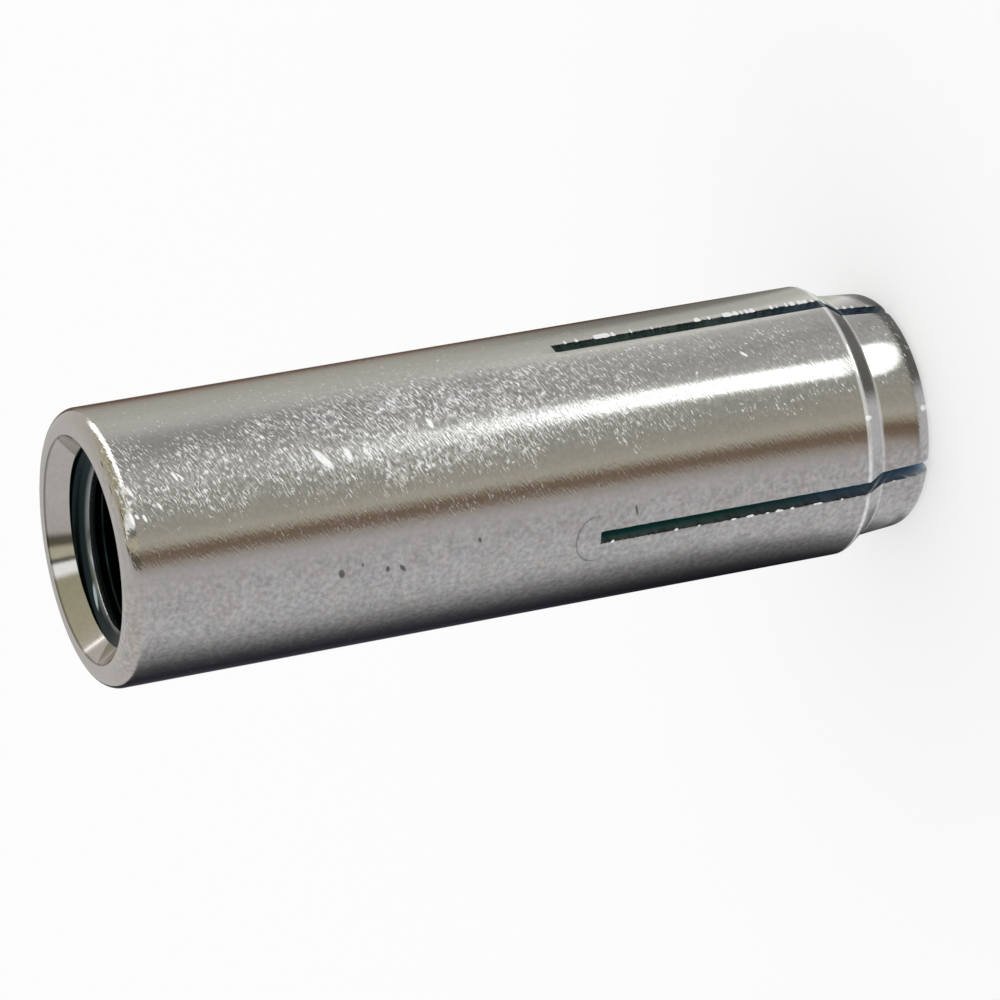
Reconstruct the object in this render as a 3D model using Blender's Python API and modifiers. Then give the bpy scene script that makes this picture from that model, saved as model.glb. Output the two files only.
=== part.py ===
# Drop-in anchor for an M12 screw: a slotted steel sleeve and the tapered plug that spreads it.
# Units are metres. The anchor stands on its nose, +Z runs up its axis to the threaded mouth,
# and the origin is the centre of the nose face.

import math

import bpy
from mathutils import Vector

# Sleeve, across
THREAD_BORE = 0.0102           # minor diameter of an M12 x 1.75 thread
BODY_WALL = 0.0029             # from that bore to the outside, which makes a 16 mm body
COUNTERSINK_WIDTH = 0.00145    # radial, on the mouth face
COUNTERSINK_HALF_ANGLE = math.radians(30)
SHOULDER_INSET = 0.0008        # radial step from the body down to the nose
NOSE_DRAW_IN = 0.0003          # how far the nose leans in by its face
TAPER_INSET = 0.0021           # radial step from the full bore to the nose's bore
NOSE_BORE_CHAMFER = 0.0003

# Sleeve, along
SLEEVE_LENGTH = 0.0500
SHOULDER_HEIGHT = 0.0046       # nose face to the lower edge of the full-width body
SHOULDER_DROP = 0.0012         # height of the slope between body and nose
NOSE_BORE_LENGTH = 0.0030      # straight land at the small end of the taper
TAPER_LENGTH = 0.0160          # from the straight land up to the full bore

# Sleeve, rounded edges
MOUTH_EDGE_RADIUS = 0.0009
BODY_EDGE_RADIUS = 0.0003
SHOULDER_FOOT_RADIUS = 0.0003
NOSE_EDGE_RADIUS = 0.0009

# Slots
SLOT_WIDTH = 0.0008
SLOT_LENGTH = 0.0217
SLOT_PAIRS = 2                 # each saw cut crosses the nose and makes two slots

# Plug
PLUG_CLEARANCE = 0.00006       # radial, in the bore and against the taper
PLUG_FREE_RUN = 0.0030         # travel before the plug's cone meets the sleeve's
PLUG_STRAIGHT_LENGTH = 0.0060
PLUG_CONE_LENGTH = 0.0090
PLUG_BACK_CHAMFER = 0.0004
PLUG_TIP_CHAMFER = 0.0005

# Fineness of the model
TURN_STEPS = 96
ARC_STEPS = 6
CUT_MARGIN = 0.0010            # how far a cutter reaches past what it cuts
MERGE_DISTANCE = 0.000001
SMOOTH_ANGLE = math.radians(25)


def clear_scene():
    for item in list(bpy.data.objects):
        bpy.data.objects.remove(item, do_unlink=True)


def new_collection(name):
    collection = bpy.data.collections.new(name)
    bpy.context.scene.collection.children.link(collection)
    return collection


def steel(name, color, roughness):
    material = bpy.data.materials.new(name)
    material.use_nodes = True
    shader = material.node_tree.nodes["Principled BSDF"]
    shader.inputs["Base Color"].default_value = (*color, 1.0)
    shader.inputs["Metallic"].default_value = 1.0
    shader.inputs["Roughness"].default_value = roughness
    return material


def rounded(before, corner, after, radius):
    """Points of the arc that rounds a profile's corner, from one side of it to the other."""
    corner = Vector(corner)
    back = (Vector(before) - corner).normalized()
    ahead = (Vector(after) - corner).normalized()
    half_angle = back.angle(ahead) / 2
    center = corner + (back + ahead).normalized() * radius / math.sin(half_angle)
    reach = radius / math.tan(half_angle)
    first_spoke = (corner + back * reach - center).normalized()
    last_spoke = (corner + ahead * reach - center).normalized()
    points = []
    for step in range(ARC_STEPS + 1):
        spoke = first_spoke.slerp(last_spoke, step / ARC_STEPS)
        points.append(tuple(center + spoke * radius))
    return points


def outline(corners):
    """A closed outline of (radius, height) corners, each with the radius that rounds it."""
    points = []
    for index, (corner, rounding) in enumerate(corners):
        if rounding > 0:
            before = corners[index - 1][0]
            after = corners[(index + 1) % len(corners)][0]
            points.extend(rounded(before, corner, after, rounding))
        else:
            points.append(corner)
    return points


def turned(name, profile, closed, collection):
    """A profile of (radius, height) points turned a full circle round Z."""
    count = len(profile)
    edges = [(index, index + 1) for index in range(count - 1)]
    if closed:
        edges.append((count - 1, 0))
    mesh = bpy.data.meshes.new(name)
    mesh.from_pydata([(radius, 0.0, height) for radius, height in profile], edges, [])
    piece = bpy.data.objects.new(name, mesh)
    collection.objects.link(piece)
    screw = piece.modifiers.new("turn", "SCREW")
    screw.axis = "Z"
    screw.angle = math.tau
    screw.steps = TURN_STEPS
    screw.render_steps = TURN_STEPS
    screw.use_merge_vertices = True
    screw.merge_threshold = MERGE_DISTANCE
    screw.use_smooth_shade = True
    return piece


def smooth_with_sharp_edges(piece):
    """Round faces shade smooth, and edges sharper than the smooth angle stay crisp."""
    depsgraph = bpy.context.evaluated_depsgraph_get()
    finished = bpy.data.meshes.new_from_object(piece.evaluated_get(depsgraph))
    finished.name = piece.name
    finished.shade_smooth()
    finished.set_sharp_from_angle(angle=SMOOTH_ANGLE)
    piece.modifiers.clear()
    piece.data = finished


def bore_radius():
    return THREAD_BORE / 2


def body_radius():
    return bore_radius() + BODY_WALL


def taper_top():
    """Height at which the tapered bore reaches the full bore."""
    return NOSE_BORE_LENGTH + TAPER_LENGTH


def taper_slope():
    """Change of the tapered bore's radius with height."""
    return TAPER_INSET / TAPER_LENGTH


def sleeve_profile():
    """Down the outside from the mouth to the nose, then up the inside."""
    bore = bore_radius()
    body = body_radius()
    nose = body - SHOULDER_INSET
    nose_bore = bore - TAPER_INSET
    countersink_depth = COUNTERSINK_WIDTH / math.tan(COUNTERSINK_HALF_ANGLE)
    return outline([
        ((body, SLEEVE_LENGTH), MOUTH_EDGE_RADIUS),
        ((body, SHOULDER_HEIGHT), BODY_EDGE_RADIUS),
        ((nose, SHOULDER_HEIGHT - SHOULDER_DROP), SHOULDER_FOOT_RADIUS),
        ((nose - NOSE_DRAW_IN, 0.0), NOSE_EDGE_RADIUS),
        ((nose_bore + NOSE_BORE_CHAMFER, 0.0), 0.0),
        ((nose_bore, NOSE_BORE_CHAMFER), 0.0),
        ((nose_bore, NOSE_BORE_LENGTH), 0.0),
        ((bore, taper_top()), 0.0),
        ((bore, SLEEVE_LENGTH - countersink_depth), 0.0),
        ((bore + COUNTERSINK_WIDTH, SLEEVE_LENGTH), 0.0),
    ])


def slot_cutter(index, collection):
    """A flat block across the nose, as wide as the saw that cuts two opposite slots."""
    bpy.ops.mesh.primitive_cube_add(size=1.0)
    cutter = bpy.context.object
    cutter.name = f"slot_cutter_{index + 1}"
    cutter_reach = body_radius() + CUT_MARGIN
    cutter.scale = (2 * cutter_reach, SLOT_WIDTH, SLOT_LENGTH + CUT_MARGIN)
    cutter.location.z = (SLOT_LENGTH - CUT_MARGIN) / 2
    cutter.rotation_euler.z = math.pi * index / SLOT_PAIRS
    bpy.ops.object.transform_apply(location=False, rotation=False, scale=True)
    for other in list(cutter.users_collection):
        other.objects.unlink(cutter)
    collection.objects.link(cutter)
    cutter.hide_render = True
    cutter.display_type = "WIRE"
    return cutter


def make_sleeve(parts, cutters, material):
    sleeve = turned("anchor_sleeve", sleeve_profile(), True, parts)
    for index in range(SLOT_PAIRS):
        cut = sleeve.modifiers.new(f"slot_{index + 1}", "BOOLEAN")
        cut.operation = "DIFFERENCE"
        cut.solver = "EXACT"
        cut.object = slot_cutter(index, cutters)
    smooth_with_sharp_edges(sleeve)
    sleeve.data.materials.append(material)
    return sleeve


def plug_profile():
    """From the centre of the back face, down the side and cone, to the centre of the tip."""
    straight = bore_radius() - PLUG_CLEARANCE
    tip = straight - PLUG_CONE_LENGTH * taper_slope()
    return [
        (0.0, PLUG_STRAIGHT_LENGTH),
        (straight - PLUG_BACK_CHAMFER, PLUG_STRAIGHT_LENGTH),
        (straight, PLUG_STRAIGHT_LENGTH - PLUG_BACK_CHAMFER),
        (straight, 0.0),
        (tip, -PLUG_CONE_LENGTH),
        (tip - PLUG_TIP_CHAMFER, -PLUG_CONE_LENGTH - PLUG_TIP_CHAMFER),
        (0.0, -PLUG_CONE_LENGTH - PLUG_TIP_CHAMFER),
    ]


def make_plug(parts, material):
    """The plug's own zero height is where its cone starts."""
    plug = turned("expander_plug", plug_profile(), False, parts)
    smooth_with_sharp_edges(plug)
    plug.location.z = taper_top() + PLUG_FREE_RUN
    plug.data.materials.append(material)
    return plug


def build():
    clear_scene()
    parts = new_collection("drop_in_anchor")
    cutters = new_collection("cutters")
    bright_zinc = steel("bright_zinc", (0.62, 0.60, 0.57), 0.30)
    dull_steel = steel("dull_steel", (0.35, 0.35, 0.34), 0.45)
    make_sleeve(parts, cutters, bright_zinc)
    make_plug(parts, dull_steel)


build()
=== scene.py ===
import math

import bmesh
import bpy
import numpy as np
from mathutils import Matrix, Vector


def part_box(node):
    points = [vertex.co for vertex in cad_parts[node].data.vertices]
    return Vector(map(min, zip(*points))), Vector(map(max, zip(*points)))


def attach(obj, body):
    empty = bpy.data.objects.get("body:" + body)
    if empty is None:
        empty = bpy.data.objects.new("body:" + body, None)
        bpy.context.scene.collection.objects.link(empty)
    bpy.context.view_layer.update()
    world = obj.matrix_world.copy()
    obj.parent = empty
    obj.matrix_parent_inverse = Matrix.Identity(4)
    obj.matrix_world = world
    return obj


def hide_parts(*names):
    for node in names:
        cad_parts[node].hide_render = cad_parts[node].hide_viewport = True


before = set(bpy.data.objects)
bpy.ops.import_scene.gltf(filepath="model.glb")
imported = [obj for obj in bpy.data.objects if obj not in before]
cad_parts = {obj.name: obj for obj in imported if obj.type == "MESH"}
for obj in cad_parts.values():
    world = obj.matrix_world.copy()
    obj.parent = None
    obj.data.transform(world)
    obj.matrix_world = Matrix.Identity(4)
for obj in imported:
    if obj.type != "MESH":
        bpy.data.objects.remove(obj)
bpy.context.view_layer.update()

mm = 0.001
mergeDistance = 2e-7         # in metres
shortestEdge = 1e-8          # in metres
sleeveLow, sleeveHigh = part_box("anchor_sleeve")
plugLow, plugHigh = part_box("expander_plug")


def smoothStep(value, low, high):
    # cubic ease from 0 at low to 1 at high
    share = np.clip((value - low) / (high - low), 0, 1)
    return share * share * (3 - 2 * share)


class Signal:
    # a node's output; plain arithmetic on it adds Math nodes
    def __init__(self, graph, socket):
        self.graph = graph
        self.socket = socket

    def math(self, operation, *values):
        return self.graph.node("ShaderNodeMath", {"operation": operation}, dict(enumerate(values)))

    def output(self, name):
        return Signal(self.graph, self.socket.node.outputs[name])

    def __add__(self, other):
        return self.math("ADD", self, other)

    def __sub__(self, other):
        return self.math("SUBTRACT", self, other)

    def __rsub__(self, other):
        return self.math("SUBTRACT", other, self)

    def __mul__(self, other):
        return self.math("MULTIPLY", self, other)

    def __truediv__(self, other):
        return self.math("DIVIDE", self, other)

    __radd__ = __add__
    __rmul__ = __mul__


class Graph:
    # builds the nodes of one material or world
    def __init__(self, owner):
        owner.use_nodes = True
        self.tree = owner.node_tree
        self.tree.nodes.clear()

    def node(self, kind, settings=None, sockets=None, output=0):
        item = self.tree.nodes.new(kind)
        for name, value in (settings or {}).items():
            if name == "stops":
                self.fillRamp(item.color_ramp, value)
            else:
                setattr(item, name, value)
        for name, value in (sockets or {}).items():
            if isinstance(value, Signal):
                self.tree.links.new(value.socket, item.inputs[name])
            else:
                item.inputs[name].default_value = value
        return Signal(self, item.outputs[output] if item.outputs else None)

    def fillRamp(self, ramp, stops):
        while len(ramp.elements) < len(stops):
            ramp.elements.new(1)
        for element, (place, color) in zip(ramp.elements, stops):
            element.position = place
            element.color = (*color, 1)

    def smooth(self, value, low, high):
        return self.node("ShaderNodeMapRange", {"interpolation_type": "SMOOTHSTEP"},
                         {"Value": value, "From Min": low, "From Max": high})

    def noise(self, vector, scale, detail=0.0, flat=False):
        return self.node("ShaderNodeTexNoise", {"noise_dimensions": "2D" if flat else "3D"},
                         {"Vector": vector, "Scale": scale, "Detail": detail})

    def band(self, value, edges):
        # 0 up to the first edge, 1 from the second to the third, and 0 again from the fourth
        none, full, still, gone = edges
        return self.smooth(value, none, full) * (1 - self.smooth(value, still, gone))

    def strongest(self, masks):
        # the largest of several masks at each point
        total = masks[0]
        for mask in masks[1:]:
            total = total.math("MAXIMUM", total, mask)
        return total

    def mix(self, factor, first, second, blend="MIX"):
        # a colour written as three numbers gets its alpha here
        first, second = ((*color, 1) if isinstance(color, tuple) else color for color in (first, second))
        return self.node("ShaderNodeMix", {"data_type": "RGBA", "blend_type": blend},
                         {0: factor, 6: first, 7: second}, 2)

    def dimmed(self, color, level):
        # a colour times a grey level
        grey = self.node("ShaderNodeCombineColor", None, {0: level, 1: level, 2: level})
        return self.mix(1, color, grey, "MULTIPLY")

    def mixShader(self, factor, first, second):
        return self.node("ShaderNodeMixShader", None, {0: factor, 1: first, 2: second})

    def placed(self, vector, move, turn, size):
        # the vector seen from a spot, turned by an angle in degrees and divided by a size
        return self.node("ShaderNodeMapping", {"vector_type": "TEXTURE"}, {
            "Vector": vector, "Location": (*move, 0),
            "Rotation": (0, 0, math.radians(turn)), "Scale": (*size, 1)})

    def length(self, vector):
        return self.node("ShaderNodeVectorMath", {"operation": "LENGTH"}, {0: vector}, 1)

    def axes(self, vector):
        split = self.node("ShaderNodeSeparateXYZ", None, {0: vector})
        return [split.output(name) for name in ("X", "Y", "Z")]


def arcCorner(before, corner, after, radius, count):
    # the circle that touches both lines of a corner, sampled from the first line to the second
    before, corner, after = (np.array(point, float) for point in (before, corner, after))
    back = (before - corner) / np.linalg.norm(before - corner)
    ahead = (after - corner) / np.linalg.norm(after - corner)
    half = math.acos(np.clip(back @ ahead, -1, 1)) / 2
    middle = (back + ahead) / np.linalg.norm(back + ahead)
    center = corner + middle * radius / math.sin(half)
    first = corner + back * radius / math.tan(half) - center
    last = corner + ahead * radius / math.tan(half) - center
    turn = math.atan2(first[0] * last[1] - first[1] * last[0], first @ last)
    angle = np.linspace(0, turn, count)
    x = center[0] + first[0] * np.cos(angle) - first[1] * np.sin(angle)
    y = center[1] + first[0] * np.sin(angle) + first[1] * np.cos(angle)
    return np.column_stack([x, y])


def lineTo(start, end, count):
    # count points spread evenly from start to end, with the end left out
    share = np.arange(count)[:, None] / count
    return np.array(start, float) + (np.array(end, float) - np.array(start, float)) * share


def gridFaces(index, closed):
    # quads between neighbouring rows and columns of a grid of indices; closed joins the last column
    # to the first
    right = np.roll(index, -1, axis=1) if closed else index[:, 1:]
    left = index if closed else index[:, :-1]
    return np.stack([left[:-1], right[:-1], right[1:], left[1:]], axis=-1).reshape(-1, 4)


def surfaceMap(mesh, bodyRadius):
    # millimetres round the body, and millimetres up the profile, which are the height plus the way in
    # from the outside; each face's corners stay near its first one, so no face wraps round the seam
    corner = np.empty(len(mesh.loops), int)
    mesh.loops.foreach_get("vertex_index", corner)
    first = np.empty(len(mesh.polygons), int)
    total = np.empty(len(mesh.polygons), int)
    mesh.polygons.foreach_get("loop_start", first)
    mesh.polygons.foreach_get("loop_total", total)
    place = np.empty(len(mesh.vertices) * 3)
    mesh.vertices.foreach_get("co", place)
    place = place.reshape(-1, 3)[corner] / mm
    angle = np.arctan2(place[:, 1], place[:, 0])
    leader = np.repeat(angle[first], total)
    angle = leader + (angle - leader + math.pi) % (2 * math.pi) - math.pi
    radius = np.hypot(place[:, 0], place[:, 1])
    flat = np.column_stack([angle * bodyRadius, place[:, 2] + bodyRadius - radius])
    mesh.uv_layers.new(name="surface").data.foreach_set("uv", flat.ravel())


def meshObject(name, points, faces, wear, body, sharpAngle):
    # the point colours: red says that a point lies inside, where the colour is painted shade, green that it
    # is on a thread's crest, which gets a painted highlight, and blue that it belongs to a burr, painted
    # bright as a glint
    mesh = bpy.data.meshes.new(name)
    mesh.from_pydata((points * mm).tolist(), [], faces.tolist())
    colors = np.column_stack([wear, np.ones(len(wear))])
    mesh.attributes.new("wear", "FLOAT_COLOR", "POINT").data.foreach_set("color", colors.ravel())
    work = bmesh.new()
    work.from_mesh(mesh)
    bmesh.ops.remove_doubles(work, verts=work.verts, dist=mergeDistance)
    bmesh.ops.dissolve_degenerate(work, edges=work.edges, dist=shortestEdge)
    bmesh.ops.recalc_face_normals(work, faces=work.faces)
    work.to_mesh(mesh)
    work.free()
    surfaceMap(mesh, sleeveShape["bodyRadius"])
    mesh.shade_smooth()
    mesh.set_sharp_from_angle(angle=math.radians(sharpAngle))
    piece = bpy.data.objects.new(name, mesh)
    bpy.context.scene.collection.objects.link(piece)
    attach(piece, body)
    return piece


# the sleeve: sizes in millimetres, heights counted up from the nose face

sleeveShape = {
    "length": (sleeveHigh.z - sleeveLow.z) / mm,
    "bodyRadius": (sleeveHigh.x - sleeveLow.x) / 2 / mm,
    "boreRadius": 5.1,
    "countersinkRadius": 6.55,
    "countersinkAngle": 30,
    "shoulderHeight": 4.6,
    "shoulderDrop": 1.2,
    "noseRadius": 7.2,
    "noseFaceRadius": 6.9,
    "noseBoreRadius": 3.0,
    "noseBoreChamfer": 0.3,
    "noseBoreLength": 3.0,
    "taperTop": 19.0,
    "mouthRounding": 0.9,
    "edgeRounding": 0.3,
    "noseRounding": 0.9,
    "slotWidth": 0.8,
    "slotLength": 21.7,
    "slotEase": 0.3,             # height over which the rounded edges start at a slot's closed end
    "slotEdge": 0.06,            # how far the saw's edges are rounded
    "slotBurr": 0.27,            # and how much more at the largest burr
    "burrHeights": (-1, 24),
    "burrSpacing": 0.16,
    "burrStretch": 2.0,          # burrs grow and shrink over stretches of this length
    "burrLeast": 0.35,           # and keep this share of their size
    "burrShows": (0.03, 0.12),   # sizes between which a burr gets its painted glint
    # how far a burr moves the four points of its edge, from the deepest one to the one on the petal
    "burrLip": (0, -0.8, -0.45, 0.4),
    # the share of each edge that has burrs, and how large they are on the four slots
    "farBurrs": {"seed": 3, "share": 0.66, "sizes": (1, 0.5, 0.6, 0.15)},
    "nearBurrs": {"seed": 8, "share": 0.45, "sizes": (0.5, 0.6, 1, 0.15)},
    "ringRows": 4,
    "petalColumns": 24,
    "sawRows": 5,                # from a slot's outer edge to its inner edge
    "sawShade": (-0.1, 0.3),     # shares of that way between which the cut darkens
    "slotRowStep": 0.1,
}

threadShape = {
    "pitch": 1.75,
    "majorRadius": 6.0,
    "length": 20.0,
    "fadeLength": 2.6,
    "start": 1.3,                # depth of the countersink's foot, where the first groove opens
    "startSlope": 1.4,           # how fast the wall closes in from there
    "startAngle": -32,
    "crestShare": 0.12,
    "crestHighlightHeight": 0.15,        # how much of a crest gets the painted highlight
    "crestHighlightFrom": (1.6, 1.9),    # depths below the mouth between which the crests' painted highlight starts
    "rootShare": 0.1,
    "crestCells": 4,
    "flankCells": 6,
    "rootCells": 2,
    "coneStep": 0.03,            # the first step up the countersink
    "coneRows": 5,
}


def wallColumns(reference, edges, drop):
    # angles and drops of the columns of one full turn. In each quadrant they are the slot's near edge
    # and middle, then a quarter circle over the slot's far edge, the petal, and a quarter circle down
    # to the next slot's near edge. A quarter circle of radius e at angle a reaches e (1 - sin a) along
    # the surface and e (1 - cos a) below it, and a burr's lip hangs over the slot.
    half = sleeveShape["slotWidth"] / 2
    around = np.radians([90, 60, 30, 0])
    base = reference[:, None, None]
    far, near = (edge[:, :, None] for edge in edges)
    even = sleeveShape["slotEdge"]
    lip = np.array(sleeveShape["burrLip"])
    farReach = half + even * (1 - np.sin(around)) + (far - even) * lip
    nearReach = (half + even * (1 - np.sin(around)) + (near - even) * lip)[..., ::-1]
    farDrop = np.broadcast_to(even * (1 - np.cos(around)) * drop[:, None, None], farReach.shape)
    nearDrop = farDrop[..., ::-1]
    farAngle = np.arcsin(farReach / (base - farDrop))
    nearAngle = np.arcsin(nearReach / (base - nearDrop))
    quarter = math.pi / 2
    start, end = farAngle[..., -1:], quarter - nearAngle[..., :1]
    count = sleeveShape["petalColumns"]
    petal = start + (end - start) * np.arange(1, count) / count
    ownAngle, ownDrop = (np.roll(part[..., -1:], 1, axis=1) for part in (nearAngle, nearDrop))
    middle = np.zeros_like(start)
    angle = np.concatenate([-ownAngle, middle, farAngle, petal, quarter - nearAngle[..., :-1]], axis=-1)
    fall = np.concatenate([ownDrop, middle, farDrop, petal * 0, nearDrop[..., :-1]], axis=-1)
    angle = angle + quarter * np.arange(4)[None, :, None]
    return angle.reshape(len(reference), -1), fall.reshape(len(reference), -1)


def slotEdges(height, seed, share, sizes):
    # rounding of the four slots' edges along their height: a small even rounding, and pointed burrs
    # here and there
    s = sleeveShape
    dice = np.random.default_rng(seed)
    low, high = s["burrHeights"]
    knots = np.arange(low, high, s["burrSpacing"])
    spikes = np.maximum(dice.random((4, len(knots))) - 1 + share, 0) / share
    stretches = np.arange(low, high + s["burrStretch"], s["burrStretch"])
    growth = np.interp(knots, stretches, dice.random(len(stretches)))
    growth = s["burrLeast"] + (1 - s["burrLeast"]) * growth
    curves = [size * np.interp(height, knots, row * growth) for size, row in zip(sizes, spikes)]
    return s["slotEdge"] + s["slotBurr"] * np.stack(curves, axis=-1)


def burrAndGlintSizes(far, near, drop, columns):
    # how much of a burr each point belongs to: nothing on the petal, and on the quarter circles the size of
    # the burr, which the material paints bright as a glint on the real burr. In a quadrant, columns 2 to 5
    # are the far edge's circle, of which all but the deepest one get that painted glint, and the last two
    # are the near edge's.
    small, large = sleeveShape["burrShows"]
    farSize, nearSize = (smoothStep(edge - sleeveShape["slotEdge"], small, large) * drop[:, None]
                         for edge in (far, near))
    wear = np.zeros((len(far), 4, columns // 4))
    wear[:, :, 3:6] = farSize[:, :, None]
    wear[:, :, -2:] = nearSize[:, :, None]
    return wear.reshape(len(far), -1)


def faceMiddle():
    # (radius, height) halfway across the flat of the nose face
    s = sleeveShape
    return ((s["noseFaceRadius"] - s["noseRounding"] + s["noseBoreRadius"]) / 2, 0)


def outsideRows():
    # (radius, height) from the mouth's flat ring down to the slots' height, and on from there to the
    # middle of the nose face
    s = sleeveShape
    top, body = s["length"], s["bodyRadius"]
    foot = (s["noseRadius"], s["shoulderHeight"] - s["shoulderDrop"])
    mouthEdge = arcCorner((0, top), (body, top), (body, 0), s["mouthRounding"], 12)
    shoulderEdge = arcCorner((body, top), (body, s["shoulderHeight"]), foot, s["edgeRounding"], 6)
    shoulderFoot = arcCorner((body, s["shoulderHeight"]), foot, (s["noseFaceRadius"], 0),
                             s["edgeRounding"], 6)
    noseEdge = arcCorner(foot, (s["noseFaceRadius"], 0), (0, 0), s["noseRounding"], 12)
    upper = np.vstack([
        lineTo((s["countersinkRadius"], top), mouthEdge[0], s["ringRows"]),
        mouthEdge,
        lineTo(mouthEdge[-1], (body, s["slotLength"]), 24)[1:],
    ])
    bodyRows = int((s["slotLength"] - shoulderEdge[0][1]) / s["slotRowStep"])
    lower = np.vstack([
        lineTo((body, s["slotLength"]), shoulderEdge[0], bodyRows),
        shoulderEdge,
        lineTo(shoulderEdge[-1], shoulderFoot[0], 4)[1:],
        shoulderFoot,
        lineTo(shoulderFoot[-1], noseEdge[0], 10)[1:],
        noseEdge,
        lineTo(noseEdge[-1], faceMiddle(), 4)[1:],
        [faceMiddle()],
    ])
    return upper, lower


def insideRows(count):
    # count rows from the middle of the nose face up to the slots' height, and the few from there to
    # the thread's foot
    s, t = sleeveShape, threadShape
    chamfer = (s["noseBoreRadius"] + s["noseBoreChamfer"], 0)
    edge = (s["noseBoreRadius"], s["noseBoreChamfer"])
    land = (s["noseBoreRadius"], s["noseBoreLength"])
    taper = (s["boreRadius"], s["taperTop"])
    slotTop = (s["boreRadius"], s["slotLength"])
    noseBore = np.vstack([lineTo(faceMiddle(), chamfer, 4), [chamfer], lineTo(edge, land, 4)])
    fullBore = np.vstack([lineTo(taper, slotTop, 6), [slotTop]])
    cone = lineTo(land, taper, count - len(noseBore) - len(fullBore))
    foot = s["length"] - t["length"] - t["fadeLength"]
    return np.vstack([noseBore, cone, fullBore]), lineTo(slotTop, (s["boreRadius"], foot), 6)[1:], foot


def threadWall(height, angle):
    # a truncated V cut into the bore along a right-hand helix: it fades out at its foot, and the
    # countersink opens it
    s, t = sleeveShape, threadShape
    phase = (height / t["pitch"] - (angle + math.radians(t["startAngle"])) / (2 * math.pi)) % 1
    flank = (1 - t["crestShare"] - t["rootShare"]) / 2
    depth = smoothStep(phase, t["crestShare"], t["crestShare"] + flank) * smoothStep(1 - phase, 0, flank)
    foot = s["length"] - t["length"] - t["fadeLength"]
    fade = np.clip((height - foot) / t["fadeLength"], 0, 1)
    cut = s["boreRadius"] + (t["majorRadius"] - s["boreRadius"]) * depth * fade
    below = s["length"] - height - t["start"]
    return np.maximum(cut, coneRadius(t["start"]) - below * t["startSlope"])


def coneRadius(below):
    # radius of the countersink at a depth below the mouth
    slope = math.tan(math.radians(sleeveShape["countersinkAngle"]))
    return sleeveShape["countersinkRadius"] - below * slope


def threadRows(angle, foot, top):
    # helical rows: each pitch is cut at the profile's corners, and every row is held between the foot
    # and the top
    t = threadShape
    flank = (1 - t["crestShare"] - t["rootShare"]) / 2
    marks = [0, t["crestShare"], t["crestShare"] + flank, 1 - flank, 1]
    cells = [t["crestCells"], t["flankCells"], t["rootCells"], t["flankCells"]]
    phases = np.concatenate([np.linspace(start, end, count, endpoint=False)
                             for start, end, count in zip(marks, marks[1:], cells)])
    turns = np.arange(math.floor(foot / t["pitch"]) - 2, math.ceil(top / t["pitch"]) + 1)
    rows = (turns[:, None] + phases[None, :]).ravel()
    lead = (angle + math.radians(t["startAngle"])) / (2 * math.pi)
    return np.clip((rows[:, None] + lead[None, :]) * t["pitch"], foot, top), len(phases)


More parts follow.
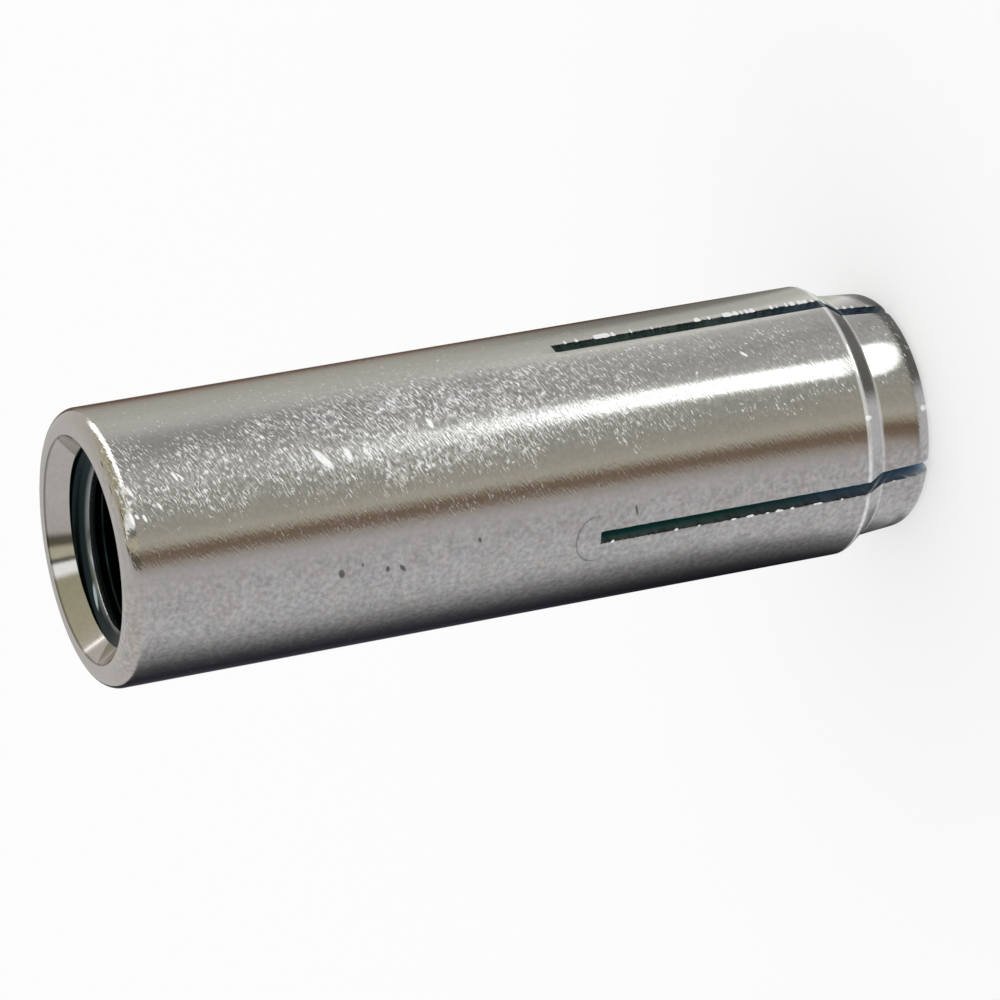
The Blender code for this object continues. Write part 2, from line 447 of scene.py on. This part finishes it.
def buildSleeve():
    s, t = sleeveShape, threadShape
    upper, lower = outsideRows()
    inner, boreRows, foot = insideRows(len(lower))
    rows = np.vstack([upper, lower, inner[1:], boreRows])
    firstSlotRow, faceRow = len(upper), len(upper) + len(lower) - 1
    lastSlotRow = faceRow + len(lower) - 1
    number = np.arange(len(rows))
    outside = number <= faceRow

    # columns follow each row's own radius, and on the mouth ring they ease over from the bore's
    reference = rows[:, 0].copy()
    reference[:s["ringRows"]] = np.linspace(s["boreRadius"], s["bodyRadius"], s["ringRows"])
    reference[s["ringRows"]:firstSlotRow] = s["bodyRadius"]
    slotted = (number >= firstSlotRow) & outside
    drop = slotted * smoothStep(s["slotLength"] - rows[:, 1], 0, s["slotEase"])
    share = drop[:, None]
    far, near = (s["slotEdge"] * (1 - share) + slotEdges(rows[:, 1], **s[burrs]) * share
                 for burrs in ("farBurrs", "nearBurrs"))
    angle, fall = wallColumns(reference, (far, near), drop)
    columns = angle.shape[1]
    radius = rows[:, :1] - fall
    height = np.repeat(rows[:, 1:], columns, axis=1)
    index = np.arange(radius.size).reshape(radius.shape)

    # the thread climbs one pitch a turn, so its last column joins the first one pitch up
    evenEdge = np.full((1, 4), s["slotEdge"])
    boreAngle = wallColumns(np.array([s["boreRadius"]]), (evenEdge, evenEdge), np.zeros(1))[0][0]
    threadTop = s["length"] - t["start"]
    threadHeight, pitchRows = threadRows(boreAngle, foot, threadTop)
    threadAngle = np.repeat(boreAngle[None, :], len(threadHeight), axis=0)
    threadIndex = index.size + np.arange(threadHeight.size).reshape(threadHeight.shape)
    seam = np.stack([threadIndex[:-1 - pitchRows, -1], threadIndex[pitchRows:-1, 0],
                     threadIndex[1 + pitchRows:, 0], threadIndex[1:-pitchRows, -1]], axis=-1)

    # the open cone above it; its first row is the thread's last one and its second is the cone at the
    # same height, so a flat step closes the cut groove
    coneHeight = np.linspace(threadTop + t["coneStep"], s["length"], t["coneRows"])
    coneHeight = np.concatenate([[threadTop, threadTop], coneHeight])
    coneHeight = np.repeat(coneHeight[:, None], columns, axis=1)
    coneAngle = np.repeat(boreAngle[None, :], len(coneHeight), axis=0)
    coneWall = coneRadius(s["length"] - coneHeight)
    coneWall[0] = threadWall(coneHeight[0], boreAngle)
    coneIndex = index.size + threadIndex.size + np.arange(coneHeight.size).reshape(coneHeight.shape)

    wallRadius = threadWall(threadHeight, threadAngle)
    allRadius = np.concatenate([radius.ravel(), wallRadius.ravel(), coneWall.ravel()])
    allAngle = np.concatenate([angle.ravel(), threadAngle.ravel(), coneAngle.ravel()])
    allHeight = np.concatenate([height.ravel(), threadHeight.ravel(), coneHeight.ravel()])
    points = np.column_stack([allRadius * np.cos(allAngle), allRadius * np.sin(allAngle), allHeight])

    # painted light and wear: the bore and the thread lie inside, down to the nose face and up to the
    # countersink's foot, and get painted shade
    insideShade = np.repeat((~outside & (rows[:, 1] > 0)).astype(float), columns)
    threaded = np.ones(threadHeight.size)
    coneFoot = (coneHeight.ravel() <= threadTop).astype(float)
    # the crests' painted highlight, from the bore's radius up a little
    crestHighlight = 1 - smoothStep(wallRadius, s["boreRadius"], s["boreRadius"] + t["crestHighlightHeight"])
    crestHighlight = (crestHighlight * smoothStep(s["length"] - threadHeight, *t["crestHighlightFrom"])).ravel()
    burrAndGlint = burrAndGlintSizes(far, near, drop, columns).ravel()
    wear = np.column_stack([np.concatenate([insideShade, threaded, coneFoot]),
                            np.concatenate([insideShade * 0, crestHighlight, coneFoot * 0]),
                            np.concatenate([burrAndGlint, threaded * 0, coneFoot * 0])])

    # the turned wall keeps every cell except the ones that the saw took away
    quadrant = columns // 4
    sawn = (np.arange(columns) % quadrant) < 2
    slotRow = (number[:-1] >= firstSlotRow) & (number[:-1] < lastSlotRow)
    wall = gridFaces(index, True).reshape(len(rows) - 1, columns, 4)
    faces = [wall[~(slotRow[:, None] & sawn[None, :])], gridFaces(threadIndex, False), seam,
             gridFaces(coneIndex, True)]

    # each saw cut is lined by straight lines from its outer edge to its inner edge
    across = np.linspace(0, 1, s["sawRows"])
    sheets, start = [], len(points)
    down, up = np.arange(faceRow, firstSlotRow - 1, -1), np.arange(faceRow, lastSlotRow + 1)
    for left in range(0, columns, quadrant):
        outer, inner = (np.concatenate([index[way, left], index[way[-1:], left + 1],
                                        index[way[::-1], left + 2]]) for way in (down, up))
        sheet = points[outer][:, None] * (1 - across[:, None]) + points[inner][:, None] * across[:, None]
        sheetIndex = start + np.arange(sheet.shape[0] * len(across)).reshape(-1, len(across))
        start += sheetIndex.size
        sheets.append(sheet.reshape(-1, 3))
        faces.append(gridFaces(sheetIndex, False))
    sheets = np.vstack(sheets)
    points = np.vstack([points, sheets])
    # the cut's walls get the painted shade of the inside, growing from the outer edge inwards
    walls = np.tile(smoothStep(across, *s["sawShade"]), len(sheets) // len(across))
    wear = np.vstack([wear, np.column_stack([walls, walls * 0, walls * 0])])
    return meshObject("sleeve", points, np.vstack(faces), wear, "sleeve", 35)


# the plug: a straight barrel with a rounded back edge and a cone down to a rounded tip

plugShape = {
    "radius": (plugHigh.x - plugLow.x) / 2 / mm,
    "backHeight": plugHigh.z / mm,
    "tipHeight": plugLow.z / mm,
    "straight": 6.0,
    "backRounding": 0.4,
    "tipRounding": 0.5,
    "punchRadius": 1.6,          # the setting tool's dimple in the back face
    "punchFloor": 0.6,           # share of its radius that is flat
    "punchDepth": 0.25,
    "columns": 96,
}


def buildPlug():
    # rows of (radius, height) from the middle of the back face to the middle of the tip, turned a full
    # circle; the cone is as steep as the sleeve's taper
    p, s = plugShape, sleeveShape
    slope = (s["boreRadius"] - s["noseBoreRadius"]) / (s["taperTop"] - s["noseBoreLength"])
    back, tip = p["backHeight"], p["tipHeight"]
    dimple = (p["punchRadius"] * p["punchFloor"], back - p["punchDepth"])
    coneTop = (p["radius"], back - p["straight"])
    coneFoot = (p["radius"] - (coneTop[1] - tip) * slope, tip)
    rows = np.vstack([
        lineTo((0, dimple[1]), dimple, 3),
        lineTo(dimple, (p["punchRadius"], back), 4),
        lineTo((p["punchRadius"], back), (p["radius"] - p["backRounding"], back), 6),
        arcCorner((0, back), (p["radius"], back), coneTop, p["backRounding"], 8),
        lineTo(coneTop, coneFoot, 12)[:-1],
        arcCorner(coneTop, coneFoot, (0, tip), p["tipRounding"], 8),
        [(0, tip)],
    ])
    angle = np.arange(p["columns"]) * 2 * math.pi / p["columns"]
    radius = rows[:, :1] * np.ones(p["columns"])
    height = rows[:, 1:] * np.ones(p["columns"])
    points = np.stack([radius * np.cos(angle), radius * np.sin(angle), height], axis=-1).reshape(-1, 3)
    faces = gridFaces(np.arange(radius.size).reshape(radius.shape), True)
    return meshObject("plug", points, faces, np.zeros((len(points), 3)), "plug", 30)


cameraView = {
    "focalPixels": 5549,
    "imagePixels": 1000,
    "sensor": 36,
    "tilt": 21.22,               # degrees between the axis and the picture plane
    "rise": 10.21,               # degrees that the axis climbs to the right in the picture
    "mouthPixel": (82.2, 550.5),
    "mouthDistance": 0.3106,
    "slotAngle": 30.7,           # degrees from the picture's up to the upper slot
}


def buildCamera():
    # the axis, the picture's up and the way to the camera are worked out in the camera's own frame,
    # whose axes point right, down and ahead
    v = cameraView
    tilt, rise, slot = (math.radians(v[name]) for name in ("tilt", "rise", "slotAngle"))
    axis = np.array([math.cos(tilt) * math.cos(rise), -math.cos(tilt) * math.sin(rise), math.sin(tilt)])
    up = np.array([0, -1, 0]) + axis * axis[1]
    up = up / np.linalg.norm(up)
    near = np.cross(axis, up)
    modelX = math.cos(slot) * up + math.sin(slot) * near
    modelY = math.sin(slot) * up - math.cos(slot) * near
    right, down, ahead = np.column_stack([modelX, modelY, -axis])
    half = v["imagePixels"] / 2
    mouthX, mouthY = ((pixel - half) / v["focalPixels"] for pixel in v["mouthPixel"])
    ray = np.array([mouthX, mouthY, 1])
    toMouth = np.array([right, down, ahead]).T @ (ray * v["mouthDistance"])
    place = np.array([0, 0, sleeveShape["length"] * mm]) - toMouth
    camera = bpy.data.cameras.new("photoCamera")
    camera.sensor_width = v["sensor"]
    camera.lens = v["sensor"] * v["focalPixels"] / v["imagePixels"]
    camera.clip_start = 0.01
    item = bpy.data.objects.new("photoCamera", camera)
    item.matrix_world = Matrix([*np.column_stack([right, -down, -ahead, place]).tolist(), [0, 0, 0, 1]])
    bpy.context.scene.collection.objects.link(item)
    bpy.context.scene.camera = item
    print("camera placed")


zincLook = {
    "metal": (0.6, 0.585, 0.56),
    # worn zinc, and the white of painted highlights: scratch sparkle, the shoulder's edges and the rim
    "wornAndHighlight": (0.92, 0.93, 0.93),
    # painted shade: dark colours that stand in for the shade in the bore, the thread and the saw cuts
    "thread": (0.02, 0.034, 0.037),
    "slotDeepShade": (0.012, 0.24, 0.215),
    "slotFootShade": (0.1, 0.32, 0.52),
    # painted highlight: lighter thread crests in the dark bore
    "crestHighlight": (0.4, 0.44, 0.46),
    # burrs are real, their near-white colour is a painted glint
    "burrAndGlint": (0.95, 0.96, 0.97),
    "stain": (0.1, 0.085, 0.07),
    "toolMark": (0.1, 0.085, 0.07),
    # colour of the painted glints in the bore
    "paintedGlint": (0.6, 0.75, 0.8),
    "polish": 0.09,
    "matt": 0.24,
    "scratchDepth": 1.6e-5,
    # direction in degrees from the circumference, length and width in millimetres, and the height of
    # the noise that shows
    "scratches": [(22, 0.44, 0.11, 0.61), (29, 0.36, 0.1, 0.61),
                  (15, 0.75, 0.08, 0.65), (-38, 0.5, 0.08, 0.7)],
    # millimetres round the body, from none to full and back to none
    "scratchZone": (-8.0, -6.0, -2.0, 0.3),
    "hairZone": (-10.2, -9.2, 2.5, 6.0),           # a few thin ones go on here
    # where round the body the rim's painted highlight lies
    "rimHighlightZone": (-7.2, -5.4, -1.0, 0.6),
    "mattZone": (-20, -16, -11.5, -9.5),
    # millimetres up the surface, in the same way or from none to full
    "slope": (3.9, 4.1, 4.8, 5.1),
    # painted highlight lines on the shoulder's upper and lower edges
    "slopeTopHighlight": (4.52, 4.6, 4.72, 4.82),
    "slopeFootHighlight": (4.08, 4.14, 4.2, 4.28),
    # a painted highlight band along the mouth's rounded rim
    "rimHighlightBand": (49.28, 49.4, 49.48, 49.6),
    "crowded": (12, 30),         # the scratches get closer from here to there
    "nearMouth": (32, 46),       # and their zone gets narrower
    "narrowing": 1.5,
    "mouthRing": (49.9, 50.1),
    # painted shade: a dark line where the countersink meets the mouth ring
    "countersinkShadeLine": (51.39, 51.43),
    "slotFootEnd": (5, 14),
    "slotEnd": (22, 24),
    "threadStart": (25, 30),
    "burrShows": (0.3, 0.65),
    "markEdge": (0.6, 1.2),      # where a single mark's oval fades out, in its own half sizes
    # noises, in cells per metre
    "patches": 420,
    "wavering": 500,
    "flecks": 2100,
    "mottling": (3400, 1100),
    "hues": 1300,
    # place round and up the surface, turn in degrees, half length and half width
    "stains": [(-11.78, 37.56, 10, 0.3, 0.2), (-12.0, 34.79, 5, 0.22, 0.13), (-12.11, 33.88, 40, 0.3, 0.13),
               (-11.16, 19.51, 8, 0.36, 0.08), (-11.24, 29.2, 20, 0.18, 0.1), (-11.46, 36.3, 0, 0.12, 0.07),
               (-2.73, 50.3, 0, 0.3, 0.07), (-4.5, 50.35, 0, 0.4, 0.05), (-6.2, 50.0, 5, 0.5, 0.06),
               (-7.2, 50.05, -5, 0.45, 0.06)],
    # real gouges, painted white as glints
    "gougesAndGlints": [(-5.1, 37.63, 34, 0.86, 0.24), (-4.05, 30.88, 15, 0.42, 0.16), (-5.05, 36.13, 14, 0.5, 0.18),
               (-5.13, 35.02, 24, 0.34, 0.1), (-4.6, 46.27, 20, 0.36, 0.1), (-4.66, 45.98, 38, 0.3, 0.07),
               (-6.67, 48.56, 20, 0.26, 0.1), (-6.12, 47.58, 28, 0.26, 0.08), (-6.51, 48.99, 28, 0.18, 0.1),
               (-5.05, 49.05, 24, 0.4, 0.12), (-6.6, 49.32, 10, 0.4, 0.12), (-3.1, 11.0, 38, 0.3, 0.1),
               (-8.23, 4.61, 0, 0.16, 0.14), (-8.28, 1.63, 0, 0.22, 0.12)],
    # painted highlights at the top of the thread, just below the countersink's foot
    "paintedGlints": [(21.6, 50.93, 0, 1.3, 0.05), (21.3, 50.2, 0, 1.0, 0.08)],
    # a faint round tool mark, whose line is open towards the nose
    "ringMark": {"place": (-12.6, 21.95), "half": (1.5, 1.28), "line": (0.93, 0.98, 1.0, 1.05),
                 "open": (21.65, 22.35)},
}


def singleMarks(graph, surface, group):
    # soft ovals: each is the distance from its middle, in half lengths and half widths
    inner, outer = zincLook["markEdge"]
    ovals = []
    for x, y, turn, long, thin in zincLook[group]:
        away = graph.length(graph.placed(surface, (x, y), turn, (long, thin)))
        ovals.append(1 - graph.smooth(away, inner, outer))
    return graph.strongest(ovals)


def zincMaterial():
    look = zincLook
    material = bpy.data.materials.new("zinc")
    graph = Graph(material)
    surface = graph.node("ShaderNodeUVMap", {"uv_map": "surface"})
    around, along, _ = graph.axes(surface)
    solid = graph.node("ShaderNodeTexCoord", None, None, "Object")
    wear = graph.node("ShaderNodeAttribute", {"attribute_name": "wear"}, None, "Vector")
    depth, crestHighlight, burrAndGlint = graph.axes(wear)
    burrAndGlint = graph.smooth(burrAndGlint, *look["burrShows"])
    outside = (1 - graph.smooth(depth, 0, 0.05)) * (1 - graph.smooth(along, *look["mouthRing"]))
    patch = graph.noise(solid, look["patches"], 2) - 0.5

    # short slanted scratches on the outside, thick in one zone and thin elsewhere: four stretched
    # noises, moved apart, show where they rise above a height that falls with the density
    crowded = graph.smooth(along, *look["crowded"])
    nearMouth = graph.smooth(along, *look["nearMouth"])
    none, full, still, gone = look["scratchZone"]
    wavering = around + (graph.noise(solid, look["wavering"], 1) - 0.5) * 2
    zone = graph.smooth(wavering, none, full)
    zone = zone * (1 - graph.smooth(wavering + nearMouth * look["narrowing"], still, gone))
    zone = zone * (1 - graph.band(along, look["slope"]))
    hair = graph.band(around, look["hairZone"])
    density = zone * (0.08 + 0.045 * crowded) + hair * (0.03 + 0.1 * crowded - 0.05 * nearMouth)
    density = density + patch * 0.24 - 0.25
    grains, lines = [], []
    for number, (turn, long, thin, limit) in enumerate(look["scratches"]):
        grain = graph.noise(graph.placed(surface, (7 * number, 3), turn, (long, thin)), 1, 0.6, True)
        grains.append(grain)
        lines.append(graph.smooth(grain + density, limit, limit + 0.07))
    rough = grains[0] + grains[1] - 1
    fleck = graph.smooth(graph.noise(solid, look["flecks"], 1), 0.36, 0.64) * 0.8 + 0.2
    scratchAndSparkle = graph.strongest(lines) * outside * fleck * (zone * 0.6 + 0.4)

    # single marks: real stains, gouges painted white as glints, and painted glints at the top of the thread
    stain = singleMarks(graph, surface, "stains") * (1 - depth)
    gougeAndGlint = singleMarks(graph, surface, "gougesAndGlints") * (1 - depth)
    paintedGlint = singleMarks(graph, surface, "paintedGlints") * depth * (1 - crestHighlight)
    mark = look["ringMark"]
    ring = graph.length(graph.placed(surface, mark["place"], 0, mark["half"]))
    ring = graph.band(ring, mark["line"]) * graph.smooth(along, *mark["open"])

    # fine mottling of the zinc, strongest on the matt side, and painted highlights: light lines on the
    # shoulder's edges and a bright band on the mouth's rim
    matt = graph.band(around, look["mattZone"])
    fine, broad = (graph.noise(solid, scale, 2) - 0.5 for scale in look["mottling"])
    mottle = fine * 0.9 + broad * 0.3
    hue = (graph.noise(solid, look["hues"], 1) - 0.5) * 0.12
    rimHighlight = graph.band(around, look["rimHighlightZone"]) * graph.band(along + patch * 0.5, look["rimHighlightBand"])
    bright = graph.band(along, look["slopeTopHighlight"]) + graph.band(along, look["slopeFootHighlight"]) * 0.6
    bright = bright + rimHighlight * outside * fleck * 0.45

    tone = 1 + mottle * (0.2 + zone * 0.3 + matt * 0.9)
    tone = tone + rough * zone * outside * (0.15 + 0.2 * crowded)
    # painted shade: a dark line at the countersink's edge
    tone = tone - graph.smooth(along, *look["countersinkShadeLine"]) * 0.5
    tint = graph.node("ShaderNodeCombineColor", None, {0: tone + hue * matt, 1: tone, 2: tone - hue * matt})
    # scratch flecks and the bright edges are painted towards white: real wear with painted sparkle and
    # highlights
    color = graph.mix(scratchAndSparkle * 0.9 + bright * 0.7, look["metal"], look["wornAndHighlight"])
    color = graph.mix(1, color, tint, "MULTIPLY")
    color = graph.mix(stain * 0.8, color, look["stain"])
    color = graph.mix(ring * 0.5, color, look["toolMark"])
    # gouges painted white as glints
    color = graph.mix(gougeAndGlint, color, (1, 1, 1))
    # burrs painted bright as glints
    color = graph.mix(burrAndGlint * 0.8, color, look["burrAndGlint"])
    # the bore, thread and saw cuts get painted shade in place of the zinc's own colour
    insideShade = graph.mix(graph.smooth(along, *look["slotFootEnd"]), look["slotFootShade"], look["slotDeepShade"])
    insideShade = graph.mix(graph.smooth(along, *look["threadStart"]), insideShade, look["thread"])
    color = graph.mix(depth, color, insideShade)
    # painted highlight on the thread's crests
    color = graph.mix(crestHighlight, color, look["crestHighlight"])
    # painted highlight: glints at the top of the thread
    color = graph.mix(paintedGlint * 0.8, color, look["paintedGlint"])

    sawn = 1 - graph.smooth(along, *look["slotEnd"])
    gloss = look["polish"] + matt * (look["matt"] - look["polish"]) + mottle * 0.04
    gloss = gloss + zone * 0.03 + scratchAndSparkle * 0.08 + gougeAndGlint * 0.15 + burrAndGlint * 0.35 + depth * (sawn * 0.5 + 0.14)
    # painted highlights, glints and flecks turn partly diffuse, so they stay white from every side
    metallic = 1 - burrAndGlint * 0.8 - gougeAndGlint * 0.85 - scratchAndSparkle * 0.7 - bright * 0.5 - paintedGlint * 0.5
    wavy = rough * (zone * (0.1 + 0.22 * crowded) + hair * (1 - zone) * 0.25) + patch * zone * crowded
    relief = mottle * 0.08 * (1 + matt) - scratchAndSparkle * 0.9 + wavy * outside * 1.3 - stain * 0.6 - gougeAndGlint * 0.4
    bump = graph.node("ShaderNodeBump", None, {
        "Strength": 1.0, "Distance": look["scratchDepth"], "Height": relief})
    shader = graph.node("ShaderNodeBsdfPrincipled", None, {
        "Base Color": color, "Roughness": gloss, "Normal": bump, "Metallic": metallic - depth * sawn * 0.4})
    graph.node("ShaderNodeOutputMaterial", None, {"Surface": shader})
    return material


plugLook = {
    "metal": (0.3, 0.3, 0.29),
    "dull": (0.16, 0.16, 0.155),
    "turning": (60, 60, 5000),   # how the noise is squeezed into rings
    "turningDepth": 4e-6,
    "clouds": 500,
}


def plugMaterial():
    look = plugLook
    material = bpy.data.materials.new("plugSteel")
    graph = Graph(material)
    solid = graph.node("ShaderNodeTexCoord", None, None, "Object")
    squeezed = graph.node("ShaderNodeVectorMath", {"operation": "MULTIPLY"}, {0: solid, 1: look["turning"]})
    rings = graph.noise(squeezed, 1, 2)
    cloud = graph.noise(solid, look["clouds"], 2)
    color = graph.mix(graph.smooth(cloud, 0.35, 0.7), look["metal"], look["dull"])
    bump = graph.node("ShaderNodeBump", None, {
        "Strength": 1.0, "Distance": look["turningDepth"], "Height": rings})
    shader = graph.node("ShaderNodeBsdfPrincipled", None, {
        "Base Color": color, "Metallic": 1.0, "Roughness": 0.3 + rings * 0.2 + cloud * 0.1, "Normal": bump})
    graph.node("ShaderNodeOutputMaterial", None, {"Surface": shader})
    return material


# studio: a white floor and a white sky, with soft grey cards round the anchor that only the metal shows

studio = {
    "facing": cameraView["slotAngle"] - 90,     # direction of the camera round the anchor, in degrees
    "floorSize": 3,
    "floorColor": (0.95, 0.95, 0.95),
    "floorGlow": 0.55,
    # cards by direction from the camera's side, in degrees towards the picture's up
    "lowCards": [(-180, (0.3, 0.3, 0.3)), (-169, (0.27, 0.27, 0.28)), (-159, (0.05, 0.05, 0.06)),
                 (-140, (0.02, 0.02, 0.03)), (-121, (0.06, 0.06, 0.07)), (-107, (0.22, 0.22, 0.23)),
                 (-92, (0.48, 0.48, 0.5)), (-77, (0.61, 0.61, 0.64)), (-50, (0.58, 0.57, 0.6)),
                 (-28, (0.55, 0.54, 0.55)), (-20, (0.44, 0.4, 0.37)), (-14.5, (0.25, 0.19, 0.15)),
                 (-9.5, (0.21, 0.15, 0.11)), (-5, (0.42, 0.38, 0.31)), (-1, (0.54, 0.52, 0.45)),
                 (8, (0.45, 0.43, 0.37)), (22, (0.43, 0.43, 0.4)), (32, (0.47, 0.47, 0.44)),
                 (50, (0.55, 0.55, 0.54)), (66, (0.46, 0.46, 0.45)), (78, (0.39, 0.39, 0.39)),
                 (88, (0.42, 0.42, 0.41)), (100, (0.62, 0.62, 0.6)), (114, (0.62, 0.63, 0.59)),
                 (130, (0.54, 0.54, 0.49)), (142, (0.46, 0.45, 0.4)), (151, (0.34, 0.3, 0.26)),
                 (158, (0.2, 0.13, 0.1)), (166, (0.12, 0.07, 0.05)), (173, (0.27, 0.27, 0.27)),
                 (180, (0.3, 0.3, 0.3))],
    "highCards": [(-180, (0.6, 0.585, 0.57)), (-60, (0.6, 0.575, 0.565)), (-24, (0.55, 0.52, 0.51)),
                  (-17, (0.12, 0.11, 0.08)), (-9, (0.12, 0.11, 0.08)), (-4, (0.6, 0.56, 0.44)),
                  (6, (0.6, 0.56, 0.44)), (9, (0.1, 0.1, 0.08)), (12, (0.1, 0.1, 0.08)),
                  (15, (1.2, 1.2, 1.2)), (26, (1.2, 1.2, 1.2)), (33, (0.42, 0.4, 0.28)),
                  (95, (0.5, 0.47, 0.34)), (130, (0.6, 0.56, 0.52)), (180, (0.6, 0.585, 0.57))],
    "cardFade": 0.02,            # softness of a card's ends, as a share of the full turn
    # a bright strip on the floor in millimetres: its direction, its reach from none to full and back,
    # how it shifts sideways beyond the bend, and its half width near the anchor and growth from there
    "brightStrip": {"turn": 47.5, "reach": (17, 19, 60, 110), "shift": 2.1, "bend": 2.1,
                    "bendFrom": (13, 19), "narrow": 0.1, "growth": 0.112, "edge": (0.75, 1.15)},
    "brightSpot": {"place": 12.4, "half": (4.3, 2.5), "edge": (0.82, 1.08)},     # nearer, for the nose
    "brightColor": (2.185, 2.3, 2.3),
    # the floor is darker near the anchor outside these directions, and lighter near it inside those
    "nearShade": {"from": -90, "to": 130, "fade": (30, 90), "level": 0.5},
    "nearGlow": {"from": 72, "to": 108, "fade": (35, 105), "level": 1.4},
    "footShade": {"fade": (7.9, 8.6), "level": 0.35},     # and darkest at the anchor's foot
    "footRing": {"from": -75, "to": 12, "fade": (8.0, 8.4), "color": (0.62, 0.62, 0.651)},
    # a bright card low in the sky: directions, and heights from none to full and back
    "sideCard": {"from": 48, "to": 122, "heights": (-0.02, 0.02, 0.28, 0.32), "color": (3, 3, 3)},
}


def cardsAround(graph, x, y, cards):
    # the direction of a point round the anchor, from 0 to 1 for the full turn, picks a colour from
    # the cards
    turn = graph.node("ShaderNodeMath", {"operation": "ARCTAN2"}, {0: y, 1: x}) / (2 * math.pi)
    turn = turn + (0.5 - studio["facing"] / 360)
    share = turn.math("FRACT", turn)
    stops = [((angle + 180) / 360, color) for angle, color in cards]
    return share, graph.node("ShaderNodeValToRGB", {"stops": stops}, {0: share})


def between(graph, share, card):
    # 1 inside the card's directions, with soft ends
    low, high = (card["from"] + 180) / 360, (card["to"] + 180) / 360
    fade = studio["cardFade"]
    return graph.band(share, (low - fade, low + fade, high - fade, high + fade))


def floorCards(graph, place):
    # what the metal sees of the floor: the low cards, which change with the distance from the anchor,
    # a pale ring at its foot, and the bright strip and spot
    x, y, _ = graph.axes(place)
    share, cards = cardsAround(graph, x, y, studio["lowCards"])
    away = graph.length(place) / mm
    shade, glow, foot, ring = (studio[name] for name in ("nearShade", "nearGlow", "footShade", "footRing"))
    nearShade, nearGlow, nearFoot, nearRing = (
        1 - graph.smooth(away, *card["fade"]) for card in (shade, glow, foot, ring))
    level = 1 + (1 - between(graph, share, shade)) * nearShade * (shade["level"] - 1)
    level = level + between(graph, share, glow) * nearGlow * (glow["level"] - 1)
    cards = graph.dimmed(cards, level * (1 + nearFoot * (foot["level"] - 1)))
    cards = graph.mix(between(graph, share, ring) * nearRing, cards, ring["color"])

    strip, spot = studio["brightStrip"], studio["brightSpot"]
    forward, side, _ = graph.axes(graph.placed(place, (0, 0), studio["facing"] + strip["turn"], (mm, mm)))
    middle = side + strip["shift"] + graph.smooth(forward, *strip["bendFrom"]) * strip["bend"]
    width = (middle.math("ABSOLUTE", middle) - strip["narrow"]) / (forward * strip["growth"])
    bright = (1 - graph.smooth(width, *strip["edge"])) * graph.band(forward, strip["reach"])
    halfLength, halfWidth = spot["half"]
    oval = graph.length(graph.node("ShaderNodeCombineXYZ", None, {
        0: (forward - spot["place"]) / halfLength, 1: middle / halfWidth}))
    bright = bright + 1 - graph.smooth(oval, *spot["edge"])
    return graph.mix(bright, cards, studio["brightColor"])


def buildFloor():
    # the camera sees a pale floor mixed with plain white, and mirrored rays see the cards
    material = bpy.data.materials.new("floor")
    graph = Graph(material)
    place = graph.node("ShaderNodeNewGeometry", None, None, "Position")
    ray = graph.node("ShaderNodeLightPath")
    seenDirectly = ray.output("Is Camera Ray") + ray.output("Is Transmission Ray")
    plain = graph.node("ShaderNodeBsdfDiffuse", None, {"Color": (*studio["floorColor"], 1)})
    white = graph.node("ShaderNodeEmission", None, {"Color": (1, 1, 1, 1), "Strength": 1.0})
    panel = graph.node("ShaderNodeEmission", None, {"Color": floorCards(graph, place), "Strength": 1.0})
    seen = graph.mixShader(seenDirectly * studio["floorGlow"], plain, white)
    surface = graph.mixShader(ray.output("Is Glossy Ray"), seen, panel)
    graph.node("ShaderNodeOutputMaterial", None, {"Surface": surface})
    half = studio["floorSize"] / 2
    corners = [(-half, -half, 0), (half, -half, 0), (half, half, 0), (-half, half, 0)]
    mesh = bpy.data.meshes.new("floor")
    mesh.from_pydata(corners, [], [(0, 1, 2, 3)])
    mesh.materials.append(material)
    floor = bpy.data.objects.new("floor", mesh)
    bpy.context.scene.collection.objects.link(floor)
    print("floor ready")


def buildSky():
    # white light on everything, while mirrored rays see the high cards by their direction
    world = bpy.data.worlds.new("sky")
    bpy.context.scene.world = world
    graph = Graph(world)
    direction = graph.node("ShaderNodeTexCoord", None, None, "Generated")
    x, y, z = graph.axes(direction)
    share, cards = cardsAround(graph, x, y, studio["highCards"])
    card = studio["sideCard"]
    side = between(graph, share, card) * graph.band(z, card["heights"])
    cards = graph.mix(side, cards, card["color"])
    color = graph.mix(graph.node("ShaderNodeLightPath", None, None, "Is Glossy Ray"), (1, 1, 1), cards)
    light = graph.node("ShaderNodeBackground", None, {"Color": color, "Strength": 1.0})
    graph.node("ShaderNodeOutputWorld", None, {"Surface": light})
    print("sky ready")


buildCamera()
sleeve = buildSleeve()
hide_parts("anchor_sleeve")
sleeve.data.materials.append(zincMaterial())
print("sleeve ready", len(sleeve.data.vertices), "vertices")
plug = buildPlug()
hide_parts("expander_plug")
plug.data.materials.append(plugMaterial())
print("plug ready")
buildFloor()
buildSky()
bpy.context.scene.view_settings.view_transform = "Standard"
